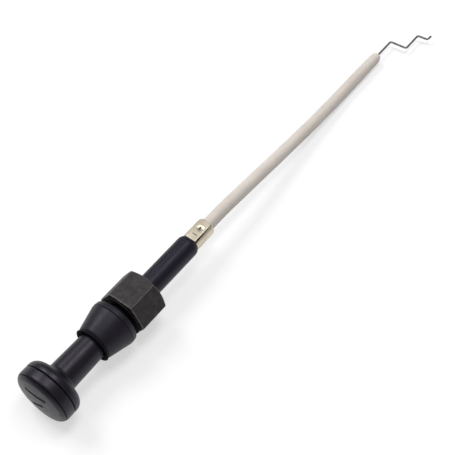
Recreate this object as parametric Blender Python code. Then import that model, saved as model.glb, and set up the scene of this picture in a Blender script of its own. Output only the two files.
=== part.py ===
"""Push-pull choke cable with a panel-mounted knob, modelled as its separate pieces.

The cable's axis runs along +X, knob at -X, wire end at +X, lying on the plane z = 0. Bench coordinates along
the axis are counted from the panel seat, the rear face of the body's hub, positive towards the cable.
Pieces that touch keep CLEAR between them. The nut stands off the seat as if for a panel of PANEL_GAP.
"""

import math

import bmesh
import bpy
from mathutils import Vector

MM = 0.001

# ---- driving dimensions ----
CLEAR = 0.3 * MM  # gap between touching pieces
TRAVEL = 10.5 * MM  # pull-out of the knob

PANEL_GAP = 2.1 * MM  # free space for the panel between seat and washer

HEAD_D = 24.3 * MM
HEAD_RIM_R = 2.9 * MM
DOME_RISE = 0.9 * MM
CAP_SIDE_L = 5.6 * MM
CAP_WALL = 1.8 * MM
CAP_SPIGOT_STEP = 1.1 * MM
CAP_SPIGOT_L = 1.2 * MM
CAP_SPIGOT_WALL = 1.2 * MM
PARTING_W = 0.4 * MM
STEM_RIM_L = 1.0 * MM
SHOULDER_R = 3.3 * MM
FILLET_R = 2.6 * MM
SHANK_D = 12.2 * MM  # at the head
SHANK_DRAFT = 0.5 * MM  # radial, over its length
SHANK_L = 25.8 * MM
POCKET_D = 8.6 * MM
POCKET_DEPTH = 3.9 * MM
KNOB_WEB = 3.0 * MM

KNOB_WASHER_D = 7.0 * MM
KNOB_WASHER_T = 0.6 * MM
KNOB_NUT_AF = 5.5 * MM
KNOB_NUT_T = 2.4 * MM

ROD_D = 4.0 * MM
ROD_THREAD_D = 2.7 * MM
ROD_THREAD_PROUD = 0.5 * MM
ROD_FLAT_DEPTH = 0.5 * MM
ROD_HEAD_L = 7.5 * MM
ANCHOR_D = 2.8 * MM
ANCHOR_DEPTH = 6.0 * MM
ANCHOR_PROUD = 0.6 * MM

HUB_D = 16.0 * MM
HUB_L = 3.5 * MM
HUB_GROOVE_W = 1.4 * MM
HUB_GROOVE_DEPTH = 0.8 * MM
COLLET_D = 6.4 * MM
COLLET_L = 7.0 * MM
COLLET_SLOT_W = 0.8 * MM
COLLET_SLOT_L = 5.0 * MM
FRICTION_NUT_D = 9.0 * MM
FRICTION_NUT_L = 3.2 * MM
FRICTION_NUT_SLOT_W = 1.2 * MM
FRICTION_NUT_SLOT_DEPTH = 0.9 * MM
THREAD_D = 11.7 * MM  # M12 barrel, less the clearance of its thread
BARREL_PROUD = 0.3 * MM
COUNTERBORE_DEPTH = 8.2 * MM
SEAL_W = 1.6 * MM
BUSH_L = 2.4 * MM

WASHER_D = 18.6 * MM
WASHER_T = 0.5 * MM
NUT_AF = 19.0 * MM
NUT_L = 14.3 * MM
NUT_CHAMFER_ANGLE = math.radians(30)
NUT_FACE_SHARE = 0.95  # chamfer circle over the width across flats

BOOT_L = 14.0 * MM
BOOT_LIP_D = 15.7 * MM
BOOT_MOUTH_GAP = 0.5 * MM  # round the widest part of the shank
BOOT_NECK_STEP = 0.15 * MM
BOOT_CONE_D = 15.5 * MM
BOOT_MAX_D = 20.4 * MM
BOOT_RIM_D = 19.9 * MM
BOOT_BAND_L = 2.4 * MM
BOOT_STEP = 0.25 * MM
BOOT_WALL = 0.9 * MM

SLEEVE_D = 9.65 * MM
SLEEVE_L = 26.6 * MM
SLEEVE_BORE_D = 7.4 * MM
SLEEVE_SPIGOT_D = 8.7 * MM
SLEEVE_END_ROUND = 0.85 * MM  # radial
SLEEVE_END_ROUND_L = 2.2 * MM  # along the axis

FERRULE_INSET = 5.3 * MM
FERRULE_L = 11.0 * MM
FERRULE_D = 8.2 * MM
FERRULE_TOP = 3.55 * MM  # height of its pressed flat above the axis
FERRULE_TAB = 2.6 * MM  # from the axis to the flat's free edge
FERRULE_SHEET = 0.5 * MM
FERRULE_EDGE = 0.15 * MM  # rounding where the tube is folded in to the sleeve
FERRULE_ROUND_L = 1.4 * MM  # drawn in to the conduit at its end
FERRULE_LIP = 0.5 * MM
SEAM_WIDE = math.radians(56)  # from the top to the wall's end, at the sleeve
SEAM_NARROW = math.radians(48)  # and at the conduit
TAB_CUT = 1.2 * MM  # of the tab's corner
DIMPLE_D = 3.0 * MM
DIMPLE_FLOOR_D = 2.3 * MM
DIMPLE_DEPTH = 0.25 * MM
DIMPLE_X = 6.4 * MM  # from the sleeve's end
DIMPLE_Y = -0.35 * MM

CONDUIT_D = 5.5 * MM
CONDUIT_BORE_D = 1.8 * MM
CONDUIT_STRAIGHT_L = 9.4 * MM  # from the ferrule to the start of the curve
CONDUIT_POINT_GAP = 12 * MM
CONDUIT_TAPER_L = 15 * MM
CONDUIT_TAPER = 0.25 * MM  # radial
CONDUIT_NOSE_L = 3.0 * MM
CONDUIT_NOSE_ROUND = 0.95 * MM  # radial
WIRE_D = 1.0 * MM
WIRE_FRONT_SHORT = 0.5 * MM  # from the sliding front wire's end to the ferrule's mouth
WIRE_TAIL_L = 10.0 * MM
WIRE_BEND_R = 1.2 * MM

# The conduit's route past its straight start, x from the ferrule's end, y, and z above the table.
ROUTE = [
    (22.4, -0.15, 11.30),
    (34.4, -0.10, 10.10),
    (46.4, 0.05, 8.55),
    (59.4, 0.25, 6.95),
    (72.4, 0.45, 5.45),
    (85.4, 0.70, 4.25),
    (97.4, 0.95, 3.35),
    (107.4, 1.15, 2.95),
    (120.4, 1.20, 2.95),
    (133.4, 1.20, 2.95),
]
# The wire's bends past the conduit's end: along x, and to the side.
ZIGZAG = [(12.2, 0.0), (12.9, -8.3), (23.7, -8.3), (24.3, -13.4), (27.2, -13.6)]

BIG, MID, SMALL = 40, 28, 16  # segments round a turned piece
SMOOTH_ANGLE = math.radians(35)

# ---- derived places along the axis ----
head_r = HEAD_D / 2
shank_r = SHANK_D / 2
rod_r = ROD_D / 2
bore_r = rod_r + CLEAR
barrel_r = THREAD_D / 2
wire_r = WIRE_D / 2

hub_front = -HUB_L
hub_groove_front = (hub_front - HUB_GROOVE_W) / 2
hub_groove_end = hub_groove_front + HUB_GROOVE_W
collet_front = hub_front - COLLET_L
washer_front = PANEL_GAP
nut_front = washer_front + WASHER_T + CLEAR
nut_rear = nut_front + NUT_L
barrel_end = nut_rear + BARREL_PROUD

seal_front = barrel_end - COUNTERBORE_DEPTH + CLEAR
bush_front = seal_front + SEAL_W + CLEAR
bush_end = bush_front + BUSH_L
spigot_front = bush_end + CLEAR
sleeve_front = barrel_end + CLEAR
sleeve_end = sleeve_front + SLEEVE_L

fillet_r = min(FILLET_R, head_r - SHOULDER_R - shank_r)
shank_end = hub_front - CLEAR
shank_start = shank_end - SHANK_L
shoulder = shank_start - fillet_r - SHOULDER_R
stem_rim = shoulder - STEM_RIM_L
cap_rear = stem_rim - PARTING_W
cap_rim = cap_rear - CAP_SIDE_L
cap_front = cap_rim - DOME_RISE
cap_spigot_r = head_r - CAP_SPIGOT_STEP
cap_spigot_end = stem_rim + CAP_SPIGOT_L
pocket_mouth = cap_spigot_end + CLEAR
pocket_floor = pocket_mouth + POCKET_DEPTH
web_end = pocket_floor + KNOB_WEB
socket_floor = collet_front - CLEAR

boot_front = -BOOT_L  # its rim ends level with the seat
boot_mouth_r = shank_r + BOOT_MOUTH_GAP
lip_roll = (BOOT_LIP_D / 2 - boot_mouth_r) / 2

rod_shoulder = web_end + CLEAR
rod_tip = pocket_floor - CLEAR - KNOB_WASHER_T - CLEAR - KNOB_NUT_T - ROD_THREAD_PROUD
rod_head_front = bush_end + CLEAR + TRAVEL
rod_end = rod_head_front + ROD_HEAD_L
rod_head_r = SLEEVE_BORE_D / 2 - CLEAR
rod_flat = rod_r - ROD_FLAT_DEPTH
anchor_front = rod_end - ANCHOR_DEPTH + CLEAR

ferrule_front = sleeve_end - FERRULE_INSET
ferrule_neck = sleeve_end + CLEAR
ferrule_end = ferrule_neck + FERRULE_L
ferrule_inner_r = CONDUIT_D / 2 + CLEAR
ferrule_tube_r = SLEEVE_BORE_D / 2 - CLEAR
conduit_front = ferrule_front + FERRULE_LIP + CLEAR

# The part's frame: origin under the middle of the rigid pieces, on the table.
seat_x = -(cap_front + ferrule_end) / 2
axis_z = head_r


def clear_scene():
    for obj in list(bpy.data.objects):
        bpy.data.objects.remove(obj, do_unlink=True)


def material(name, colour, roughness, metallic=0.0):
    """Principled material with the piece's colour, roughness and metallic value."""
    mat = bpy.data.materials.new(name)
    mat.use_nodes = True
    shader = mat.node_tree.nodes["Principled BSDF"]
    shader.inputs["Base Color"].default_value = (*colour, 1.0)
    shader.inputs["Roughness"].default_value = roughness
    shader.inputs["Metallic"].default_value = metallic
    return mat


def finish_object(name, bm, mat, parent, smooth=True):
    """Turns a bmesh into a named object with its material, shaded smooth or flat."""
    bmesh.ops.recalc_face_normals(bm, faces=bm.faces)
    mesh = bpy.data.meshes.new(name)
    bm.to_mesh(mesh)
    bm.free()
    if smooth:
        mesh.shade_smooth()
        mesh.set_sharp_from_angle(angle=SMOOTH_ANGLE)
    obj = bpy.data.objects.new(name, mesh)
    bpy.context.scene.collection.objects.link(obj)
    obj.parent = parent
    if mat:
        mesh.materials.append(mat)
    return obj


def arc(x, r, radius, start, end, steps):
    """Points of a circular arc in the (x, radius) plane; angles in degrees from +x towards +radius."""
    points = []
    for i in range(steps + 1):
        a = math.radians(start + (end - start) * i / steps)
        points.append((x + radius * math.cos(a), r + radius * math.sin(a)))
    return points


def turned(name, outline, segments, mat, parent):
    """Solid turned about the X axis from a closed outline of (x, radius) points."""
    bm = bmesh.new()
    verts = [bm.verts.new((x, 0.0, r)) for x, r in outline]
    edges = []
    for a, b in zip(verts, verts[1:] + verts[:1]):
        if a.co.z > 0 or b.co.z > 0:
            edges.append(bm.edges.new((a, b)))
    bmesh.ops.spin(
        bm,
        geom=verts + edges,
        cent=(0, 0, 0),
        axis=(1, 0, 0),
        angle=2 * math.pi,
        steps=segments,
        use_merge=True,
    )
    bmesh.ops.remove_doubles(bm, verts=bm.verts, dist=1e-7)
    return finish_object(name, bm, mat, parent)


def ring(name, front, end, inner_r, outer_r, segments, mat, parent):
    """Plain turned ring."""
    outline = [(front, inner_r), (front, outer_r), (end, outer_r), (end, inner_r)]
    return turned(name, outline, segments, mat, parent)


def hexagon(across_flats):
    """Corners of a hexagon in the YZ plane with flats facing up and down."""
    corner = across_flats / math.sqrt(3)
    angles = [math.radians(60 * i) for i in range(6)]
    return [(corner * math.cos(a), corner * math.sin(a)) for a in angles]


def prism(name, outline, front, end, mat, parent):
    """Closed outline of (y, z) points extruded along X."""
    bm = bmesh.new()
    face = bm.faces.new([bm.verts.new((front, y, z)) for y, z in outline])
    extruded = bmesh.ops.extrude_face_region(bm, geom=[face])
    verts = [v for v in extruded["geom"] if isinstance(v, bmesh.types.BMVert)]
    bmesh.ops.translate(bm, verts=verts, vec=(end - front, 0, 0))
    return finish_object(name, bm, mat, parent, smooth=False)


def boolean(obj, cutter, operation="DIFFERENCE"):
    """Cuts obj with a hidden cutter."""
    cutter.hide_render = True
    cutter.display_type = "WIRE"
    modifier = obj.modifiers.new(cutter.name, "BOOLEAN")
    modifier.object = cutter
    modifier.operation = operation


def box_cutter(name, low, high, parent):
    """Box between two corners, used as a cutter."""
    outline = [(low[1], low[2]), (high[1], low[2]), (high[1], high[2]), (low[1], high[2])]
    return prism(name, outline, low[0], high[0], None, parent)


# ---- knob ----
def make_knob(frame, plastic, steel, zinc, brass):
    dome_r = head_r - HEAD_RIM_R
    dome_radius = (dome_r**2 + DOME_RISE**2) / (2 * DOME_RISE)
    dome = []
    for i in range(6):
        r = dome_r * i / 5
        drop = dome_radius - math.sqrt(dome_radius**2 - r**2)
        dome.append((cap_front + drop, r))
    rim = arc(cap_rim + HEAD_RIM_R, dome_r, HEAD_RIM_R, 180, 90, 4)
    cavity_r = cap_spigot_r - CAP_SPIGOT_WALL
    cap = dome[:-1] + rim
    cap += [(cap_rear, head_r), (cap_rear, cap_spigot_r), (cap_spigot_end, cap_spigot_r)]
    cap += [(cap_spigot_end, cavity_r), (cap_rim + CAP_WALL, cavity_r), (cap_rim + CAP_WALL, 0.0)]
    turned("knob_cap", cap, BIG, plastic, frame)

    recess_r = cap_spigot_r + CLEAR
    pocket_r = POCKET_D / 2
    socket_r = FRICTION_NUT_D / 2 + CLEAR
    thread_r = ROD_THREAD_D / 2 + CLEAR
    stem = [(pocket_mouth, recess_r), (stem_rim, recess_r), (stem_rim, head_r)]
    stem += arc(shoulder, head_r - SHOULDER_R, SHOULDER_R, 90, 0, 5)
    stem += arc(shank_start, shank_r + fillet_r, fillet_r, 180, 270, 6)
    stem += [(shank_end, shank_r - SHANK_DRAFT), (shank_end, socket_r), (socket_floor, socket_r)]
    stem += [(socket_floor, bore_r), (web_end, bore_r), (web_end, thread_r)]
    stem += [(pocket_floor, thread_r), (pocket_floor, pocket_r), (pocket_mouth, pocket_r)]
    turned("knob_stem", stem, BIG, plastic, frame)

    washer_front_x = pocket_floor - CLEAR - KNOB_WASHER_T
    ring("knob_washer", washer_front_x, pocket_floor - CLEAR, thread_r, KNOB_WASHER_D / 2, SMALL, zinc, frame)

    nut_end = washer_front_x - CLEAR
    knob_nut = prism("knob_nut", hexagon(KNOB_NUT_AF), nut_end - KNOB_NUT_T, nut_end, zinc, frame)
    nut_bore = turned(
        "knob_nut_bore",
        [(rod_tip, 0.0), (rod_tip, thread_r), (nut_end + CLEAR, thread_r), (nut_end + CLEAR, 0.0)],
        SMALL,
        None,
        frame,
    )
    boolean(knob_nut, nut_bore)

    anchor_r = ANCHOR_D / 2 + CLEAR
    end_r = ROD_THREAD_D / 2
    rod = [(rod_tip, 0.0), (rod_tip, end_r), (rod_shoulder, end_r), (rod_shoulder, rod_r)]
    rod += [(rod_head_front, rod_r), (rod_head_front, rod_head_r), (rod_end, rod_head_r), (rod_end, anchor_r)]
    rod += [(rod_end - ANCHOR_DEPTH, anchor_r), (rod_end - ANCHOR_DEPTH, 0.0)]
    pull_rod = turned("pull_rod", rod, MID, steel, frame)
    flat = box_cutter(
        "rod_flat",
        (bush_front - CLEAR, -rod_r, rod_flat),
        (rod_head_front - CLEAR, rod_r, rod_r + CLEAR),
        frame,
    )
    boolean(pull_rod, flat)
    anchor_end = rod_end + ANCHOR_PROUD
    ring("wire_anchor", anchor_front, anchor_end, wire_r + CLEAR, ANCHOR_D / 2, SMALL, brass, frame)


# ---- body, friction nut and what lies in the barrel ----
def make_body(frame, black_metal, nylon, rubber, brass):
    hub_r = HUB_D / 2
    groove_r = hub_r - HUB_GROOVE_DEPTH
    collet_r = COLLET_D / 2
    counterbore_r = SLEEVE_SPIGOT_D / 2 + CLEAR
    counterbore_floor = barrel_end - COUNTERBORE_DEPTH
    body = [(collet_front, bore_r), (collet_front, collet_r), (hub_front, collet_r), (hub_front, hub_r)]
    body += [(hub_groove_front, hub_r), (hub_groove_front, groove_r)]
    body += [(hub_groove_end, groove_r), (hub_groove_end, hub_r), (0.0, hub_r), (0.0, barrel_r)]
    body += [(barrel_end, barrel_r), (barrel_end, counterbore_r), (counterbore_floor, counterbore_r)]
    body += [(counterbore_floor, bore_r)]
    threaded_body = turned("threaded_body", body, BIG, black_metal, frame)
    half = COLLET_SLOT_W / 2
    reach = collet_r + CLEAR
    for name, y, z in (("collet_slot_1", reach, half), ("collet_slot_2", half, reach)):
        low = (collet_front - CLEAR, -y, -z)
        high = (collet_front + COLLET_SLOT_L, y, z)
        boolean(threaded_body, box_cutter(name, low, high, frame))

    nut_start = collet_front + CLEAR
    friction_nut = ring(
        "friction_nut",
        nut_start,
        nut_start + FRICTION_NUT_L,
        collet_r + CLEAR,
        FRICTION_NUT_D / 2,
        MID,
        brass,
        frame,
    )
    spanner_slot = box_cutter(
        "friction_nut_slot",
        (nut_start - CLEAR, -FRICTION_NUT_D, -FRICTION_NUT_SLOT_W / 2),
        (nut_start + FRICTION_NUT_SLOT_DEPTH, FRICTION_NUT_D, FRICTION_NUT_SLOT_W / 2),
        frame,
    )
    boolean(friction_nut, spanner_slot)

    packing_r = SLEEVE_SPIGOT_D / 2
    seal_r = SEAL_W / 2
    middle = seal_front + seal_r
    seal = arc(middle, packing_r - seal_r, seal_r, 0, 180, 6)
    seal += arc(middle, bore_r + seal_r, seal_r, 180, 360, 6)
    turned("rod_seal", seal, MID, rubber, frame)

    guide_bush = turned(
        "guide_bush",
        [(bush_front, 0.0), (bush_front, packing_r), (bush_end, packing_r), (bush_end, 0.0)],
        MID,
        nylon,
        frame,
    )
    key_flat = rod_flat + CLEAR
    half_angle = math.acos(key_flat / bore_r)
    key = []
    for i in range(SMALL + 1):
        a = half_angle + (2 * math.pi - 2 * half_angle) * i / SMALL
        key.append((bore_r * math.sin(a), bore_r * math.cos(a)))
    boolean(guide_bush, prism("bush_key", key, bush_front - CLEAR, bush_end + CLEAR, None, frame))


# ---- dust boot ----
def make_boot(frame, rubber):
    """Conical dust boot: rolled lip round the shank, cone, step and rim, and a bead in the hub's groove."""
    lip_middle = boot_front + lip_roll
    lip_end = lip_middle + lip_roll
    cone_start = lip_end + BOOT_NECK_STEP
    cone_r = BOOT_CONE_D / 2
    max_r = BOOT_MAX_D / 2
    rim_r = BOOT_RIM_D / 2
    band_front = -BOOT_BAND_L
    hub_gap = HUB_D / 2 + CLEAR
    bead_gap = hub_gap - HUB_GROOVE_DEPTH
    outer = arc(lip_middle, boot_mouth_r + lip_roll, lip_roll, 270, 30, 9)
    outer += [(cone_start, cone_r), (band_front - BOOT_STEP, max_r), (band_front, max_r - BOOT_STEP)]
    outer += [(band_front + BOOT_STEP, max_r), (-BOOT_STEP, rim_r), (0.0, rim_r - BOOT_STEP)]
    inner = [(0.0, hub_gap), (hub_groove_end - CLEAR, hub_gap), (hub_groove_end - CLEAR, bead_gap)]
    inner += [(hub_groove_front + CLEAR, bead_gap), (hub_groove_front + CLEAR, hub_gap)]
    inner += [(hub_front - CLEAR, hub_gap), (cone_start + BOOT_WALL, cone_r - BOOT_WALL)]
    inner += [(lip_end, boot_mouth_r)]
    turned("dust_boot", outer + inner, BIG, rubber, frame)


# ---- panel washer and nut ----
def make_panel_fasteners(frame, black_metal, nut_metal):
    hole_r = barrel_r + CLEAR
    washer_end = washer_front + WASHER_T
    ring("panel_washer", washer_front, washer_end, hole_r, WASHER_D / 2, MID, black_metal, frame)

    corner_r = NUT_AF / math.sqrt(3)
    face_r = NUT_FACE_SHARE * NUT_AF / 2
    chamfer_l = (corner_r + CLEAR - face_r) * math.tan(NUT_CHAMFER_ANGLE)
    nut = prism("panel_nut", hexagon(NUT_AF), nut_front, nut_rear, nut_metal, frame)
    crown = turned(
        "nut_crown",
        [
            (nut_front - CLEAR, 0.0),
            (nut_front - CLEAR, corner_r + CLEAR),
            (nut_rear - chamfer_l, corner_r + CLEAR),
            (nut_rear, face_r),
            (nut_rear + CLEAR, face_r - CLEAR),
            (nut_rear + CLEAR, 0.0),
        ],
        BIG,
        None,
        frame,
    )
    boolean(nut, crown, "INTERSECT")
    bore = turned(
        "nut_bore",
        [
            (nut_front - CLEAR, 0.0),
            (nut_front - CLEAR, hole_r),
            (nut_rear + CLEAR, hole_r),
            (nut_rear + CLEAR, 0.0),
        ],
        BIG,
        None,
        frame,
    )
    boolean(nut, bore)


# ---- rear sleeve ----
def make_sleeve(frame, plastic):
    outer_r = SLEEVE_D / 2
    inner_r = SLEEVE_BORE_D / 2
    spigot_r = SLEEVE_SPIGOT_D / 2
    sleeve = [(spigot_front, inner_r), (spigot_front, spigot_r)]
    sleeve += [(sleeve_front, spigot_r), (sleeve_front, outer_r)]
    for i in range(6):
        a = math.radians(90 * (1 - i / 5))
        x = sleeve_end - SLEEVE_END_ROUND_L * (1 - math.cos(a))
        sleeve.append((x, outer_r - SLEEVE_END_ROUND * (1 - math.sin(a))))
    sleeve += [(sleeve_end, inner_r)]
    turned("rear_sleeve", sleeve, BIG, plastic, frame)


# ---- rolled ferrule ----
def rolled_sheet(radius, tab, seam, sheet=0.0):
    """Open (y, z) path of the rolled sheet, set in by sheet: tab, pressed flat, wall round to the seam."""
    r = radius - sheet
    top = min(FERRULE_TOP, radius - FERRULE_EDGE) - sheet
    flat_angle = math.acos(top / r)
    path = [(-tab, top)]
    for i in range(SMALL + 1):
        a = flat_angle + (2 * math.pi - seam - flat_angle) * i / SMALL
        path.append((r * math.sin(a), r * math.cos(a)))
    return path


def make_ferrule(frame, metal):
    """Rolled tube with a seam under the edge of its pressed top, drawn in to the conduit at its end."""
    outer_r = FERRULE_D / 2
    mouth_r = ferrule_inner_r + FERRULE_SHEET
    stations = [
        (ferrule_neck + FERRULE_EDGE, outer_r, FERRULE_TAB, SEAM_WIDE),
        (ferrule_end - FERRULE_ROUND_L, outer_r, FERRULE_TAB, SEAM_NARROW),
        (ferrule_end - FERRULE_ROUND_L / 2, outer_r - FERRULE_EDGE, FERRULE_TAB - TAB_CUT / 2, SEAM_NARROW),
        (ferrule_end, mouth_r, FERRULE_TAB - TAB_CUT, SEAM_NARROW),
    ]
    bm = bmesh.new()
    outside, inside = [], []
    for x, r, tab, seam in stations:
        outside.append([bm.verts.new((x, y, z)) for y, z in rolled_sheet(r, tab, seam)])
        inside.append([bm.verts.new((x, y, z)) for y, z in rolled_sheet(r, tab, seam, FERRULE_SHEET)])
    for loops in (outside, inside):
        for a, b in zip(loops, loops[1:]):
            for i in range(len(a) - 1):
                bm.faces.new((a[i], a[i + 1], b[i + 1], b[i]))
    for outer, inner in ((outside[0], inside[0]), (outside[-1], inside[-1])):
        for i in range(len(outer) - 1):
            bm.faces.new((outer[i], outer[i + 1], inner[i + 1], inner[i]))
    for k in range(len(stations) - 1):
        for i in (0, -1):
            bm.faces.new((outside[k][i], outside[k + 1][i], inside[k + 1][i], inside[k][i]))
    ferrule = finish_object("ferrule", bm, metal, frame)

    end_wall = rolled_sheet(outer_r, FERRULE_TAB - FERRULE_EDGE, SEAM_WIDE, FERRULE_EDGE)
    wall_end = ferrule_neck + FERRULE_SHEET
    boolean(ferrule, prism("ferrule_end_wall", end_wall, ferrule_neck, wall_end, None, frame), "UNION")
    tube_end = ferrule_neck + FERRULE_SHEET / 2
    tube = turned(
        "ferrule_tube",
        [(ferrule_front, 0.0), (ferrule_front, ferrule_tube_r), (tube_end, ferrule_tube_r), (tube_end, 0.0)],
        MID,
        None,
        frame,
    )
    boolean(ferrule, tube, "UNION")
    wire_hole = wire_r + 2 * CLEAR
    bore = turned(
        "ferrule_bore",
        [
            (ferrule_front - CLEAR, 0.0),
            (ferrule_front - CLEAR, wire_hole),
            (ferrule_front + FERRULE_LIP, wire_hole),
            (ferrule_front + FERRULE_LIP, ferrule_inner_r),
            (ferrule_end + CLEAR, ferrule_inner_r),
            (ferrule_end + CLEAR, 0.0),
        ],
        MID,
        None,
        frame,
    )
    boolean(ferrule, bore)
    bm = bmesh.new()
    # twice as deep as the dimple, so that its middle lies in the flat's surface
    mouth_overshoot = DIMPLE_D - DIMPLE_FLOOR_D
    bmesh.ops.create_cone(
        bm,
        cap_ends=True,
        segments=SMALL,
        radius1=DIMPLE_FLOOR_D / 2,
        radius2=DIMPLE_FLOOR_D / 2 + mouth_overshoot,
        depth=2 * DIMPLE_DEPTH,
    )
    bmesh.ops.translate(bm, verts=bm.verts, vec=(ferrule_neck + DIMPLE_X, DIMPLE_Y, FERRULE_TOP))
    boolean(ferrule, finish_object("ferrule_dimple", bm, None, frame))


# ---- conduit and core wire ----
def smooth_route(points, spacing):
    """Points every spacing or so along a Catmull-Rom curve through the route's own points."""
    ends = [points[0] + (points[0] - points[1]), *points, points[-1] + (points[-1] - points[-2])]
    out = []
    for p0, p1, p2, p3 in zip(ends, ends[1:], ends[2:], ends[3:]):
        steps = max(1, round((p2 - p1).length / spacing))
        for i in range(steps):
            t = i / steps
            out.append(0.5 * (2 * p1 + (p2 - p0) * t + (2 * p0 - 5 * p1 + 4 * p2 - p3) * t * t
                              + (3 * p1 - p0 - 3 * p2 + p3) * t**3))
    out.append(points[-1])
    return out


def tube(name, points, radii, resolution, mat):
    """Round tube along a polyline, with filled caps."""
    curve = bpy.data.curves.new(name, "CURVE")
    curve.dimensions = "3D"
    curve.bevel_depth = 1.0
    curve.bevel_resolution = resolution
    curve.use_fill_caps = True
    spline = curve.splines.new("POLY")
    spline.points.add(len(points) - 1)
    origin = points[0].copy()
    for point, place, radius in zip(spline.points, points, radii):
        point.co = (*(place - origin), 1.0)
        point.radius = radius
    obj = bpy.data.objects.new(name, curve)
    obj.location = origin
    bpy.context.scene.collection.objects.link(obj)
    if mat:
        curve.materials.append(mat)
    return obj


def as_mesh(curve_obj):
    """Mesh object in place of a tube's curve, because only a mesh can be cut."""
    name = curve_obj.name
    evaluated = curve_obj.evaluated_get(bpy.context.evaluated_depsgraph_get())
    mesh = bpy.data.meshes.new_from_object(evaluated)
    place = curve_obj.location.copy()
    bpy.data.objects.remove(curve_obj, do_unlink=True)
    bm = bmesh.new()
    bm.from_mesh(mesh)
    bmesh.ops.remove_doubles(bm, verts=bm.verts, dist=1e-7)
    materials = list(mesh.materials)
    obj = finish_object(name, bm, materials[0] if materials else None, None)
    obj.location = place
    return obj


def make_cable(nylon, steel):
    exit_x = seat_x + ferrule_end
    start = Vector((seat_x + conduit_front, 0.0, axis_z))
    straight_end = Vector((exit_x + CONDUIT_STRAIGHT_L, 0.0, axis_z))
    route = [Vector((exit_x + x * MM, y * MM, z * MM)) for x, y, z in ROUTE]
    curve = smooth_route([straight_end, *route], CONDUIT_POINT_GAP)
    path = [start, Vector((exit_x, 0.0, axis_z)), *curve]
    end = path[-1]
    taper_start = end - Vector((CONDUIT_TAPER_L, 0, 0))
    body_points = [p for p in path[:-1] if p.x < taper_start.x - CONDUIT_D]
    radius = CONDUIT_D / 2
    tip = [(taper_start, radius)]
    for i in range(4):
        a = math.radians(90 * i / 3)
        back = CONDUIT_NOSE_L * (1 - math.sin(a))
        drop = CONDUIT_TAPER + CONDUIT_NOSE_ROUND * (1 - math.cos(a))
        tip.append((end - Vector((back, 0, 0)), radius - drop))
    points = body_points + [p for p, _ in tip]
    radii = [radius] * len(body_points) + [r for _, r in tip]
    conduit = as_mesh(tube("conduit", points, radii, 4, nylon))
    bore_points = [start - Vector((CLEAR, 0, 0)), *points[1:-1], end + Vector((CLEAR, 0, 0))]
    bore = as_mesh(tube("conduit_bore", bore_points, [CONDUIT_BORE_D / 2] * len(bore_points), 2, None))
    boolean(conduit, bore)

    front_end = Vector((exit_x - WIRE_FRONT_SHORT, 0.0, axis_z))
    front_start = Vector((seat_x + anchor_front + CLEAR, 0.0, axis_z))
    tube("core_wire_front", [front_start, front_end], [wire_r] * 2, 1, steel)

    tail_start = end - Vector((WIRE_TAIL_L, 0, 0))
    middle_end = tail_start - Vector((TRAVEL + CLEAR, 0, 0))
    middle = [front_end + Vector((CLEAR, 0, 0))]
    middle += [p for p in points if front_end.x + CLEAR < p.x < middle_end.x] + [middle_end]
    tube("core_wire_middle", middle, [wire_r] * len(middle), 1, steel)
    make_wire_tip(end, tail_start, steel)


def make_wire_tip(exit_point, tail_start, steel):
    """Bare end of the wire, bent twice each way in the table's plane to hook the carburettor's lever."""
    corners = [tail_start] + [exit_point + Vector((x * MM, y * MM, 0)) for x, y in ZIGZAG]
    points = [corners[0]]
    for a, b, c in zip(corners, corners[1:], corners[2:]):
        into = (b - a).normalized()
        away = (c - b).normalized()
        turn = into.angle(away)
        setback = WIRE_BEND_R * math.tan(turn / 2)
        first, last = b - into * setback, b + away * setback
        for i in range(6):
            t = i / 5
            points.append(first * (1 - t) ** 2 + b * 2 * t * (1 - t) + last * t**2)
    points.append(corners[-1])
    tube("wire_tip", points, [wire_r] * len(points), 1, steel)


def main():
    clear_scene()
    frame = bpy.data.objects.new("axis_frame", None)
    frame.location = (seat_x, 0.0, axis_z)
    bpy.context.scene.collection.objects.link(frame)
    bpy.context.view_layer.update()

    black_plastic = material("black_plastic", (0.012, 0.012, 0.013), 0.42)
    black_rubber = material("black_rubber", (0.016, 0.016, 0.018), 0.6)
    sleeve_plastic = material("sleeve_plastic", (0.015, 0.015, 0.024), 0.45)
    black_metal = material("blackened_metal", (0.02, 0.02, 0.022), 0.45, 0.8)
    nut_metal = material("phosphated_steel", (0.06, 0.057, 0.056), 0.5, 0.7)
    bright_steel = material("bright_steel", (0.55, 0.55, 0.56), 0.3, 1.0)
    zinc = material("zinc_plate", (0.6, 0.58, 0.5), 0.35, 1.0)
    brass = material("brass", (0.6, 0.42, 0.16), 0.35, 1.0)
    nickel = material("nickel_sheet", (0.68, 0.6, 0.45), 0.3, 1.0)
    white_nylon = material("natural_nylon", (0.62, 0.58, 0.52), 0.4)

    make_knob(frame, black_plastic, bright_steel, zinc, brass)
    make_body(frame, black_metal, white_nylon, black_rubber, brass)
    make_boot(frame, black_rubber)
    make_panel_fasteners(frame, black_metal, nut_metal)
    make_sleeve(frame, sleeve_plastic)
    make_ferrule(frame, nickel)
    make_cable(white_nylon, bright_steel)


main()
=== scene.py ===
"""Looks of the push-pull choke cable: fine surfaces, materials, floor, light and camera round the frame."""

import math

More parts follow.
